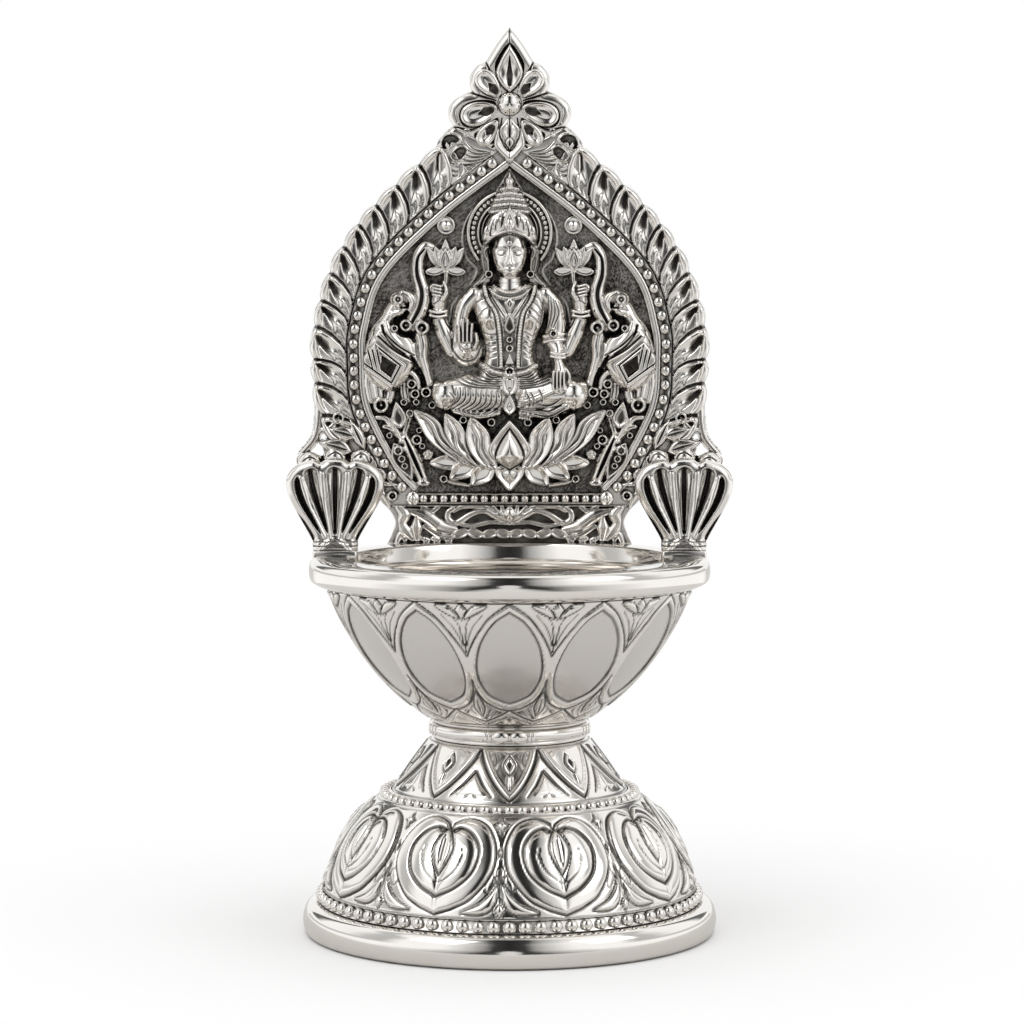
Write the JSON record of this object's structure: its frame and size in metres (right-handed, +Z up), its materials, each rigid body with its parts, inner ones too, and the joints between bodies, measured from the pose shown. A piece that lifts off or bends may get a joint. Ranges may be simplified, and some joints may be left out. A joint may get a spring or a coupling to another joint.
{
  "type": "oil lamp",
  "caption": "Footed silver pooja lamp: hollow chased stand, open oil bowl that unscrews from it, and a flat arched back plate with figures in relief between shells.",
  "frame": {"origin": "centre of the round foot, on the surface that the lamp stands on", "axes": "+Z up, the lamp's front (open side of the bowl, face of the plate) towards -Y, +X to the right seen from the front"},
  "size_m": [0.0738, 0.068, 0.1491],
  "materials": {
    "polished_silver": "polished silver, mirror bright",
    "chased_silver": "polished silver, chased, dark oxide in the cut lines",
    "relief_silver": "cast silver relief, bright on top, dark oxide in the recesses",
    "dark_field": "silver sheet, stippled and oxidised dark behind the relief, satin at the back",
    "thread_metal": "turned white metal, satin"
  },
  "bodies": {
    "stand": {"foot_ring": "polished_silver", "foot_bead_ring": "relief_silver", "base_dome": "chased_silver", "shoulder_bead_ring": "relief_silver", "stem_cone": "chased_silver", "threaded_bush": "thread_metal"},
    "collar": {"neck_ring": "polished_silver"},
    "head": {"stud_boss": "thread_metal", "bowl_stud": "thread_metal", "bowl": "chased_silver", "bowl_rim": "polished_silver", "back_plate": "dark_field", "inner_ridge": "relief_silver", "bead_rail": "relief_silver", "plinth_scroll": "relief_silver", "finial_plate": "relief_silver", "finial_top_leaf": "relief_silver", "finial_lower_leaf": "relief_silver", "finial_boss": "relief_silver", "seated_figure": "relief_silver", "halo": "relief_silver", "lotus_seat": "relief_silver", "finial_petals_left": "relief_silver", "finial_petals_right": "relief_silver", "bead_border_left": "relief_silver", "bead_border_right": "relief_silver", "leaf_border_left": "relief_silver", "leaf_border_right": "relief_silver", "side_scroll_left": "relief_silver", "side_scroll_right": "relief_silver", "held_lotus_left": "relief_silver", "held_lotus_right": "relief_silver", "elephant_left": "relief_silver", "elephant_right": "relief_silver", "plant_left": "relief_silver", "plant_right": "relief_silver", "sky_disc_left": "relief_silver", "sky_disc_right": "relief_silver", "shell_left": "relief_silver", "shell_right": "relief_silver"}
  },
  "joints": [
    {"name": "neck_lift", "type": "slide", "parent": "stand", "child": "collar", "axis": [0, 0, 1], "range_m": [0, 0.005]},
    {"name": "bowl_unscrew", "type": "hinge", "parent": "collar", "child": "head", "pos_m": [0, 0, 0.0354], "axis": [0, 0, 1], "range_deg": [0, 1800]}
  ],
  "couplings": [
    {"joint": "neck_lift", "follows": "bowl_unscrew", "m_per_rad": 0.00015915}
  ]
}
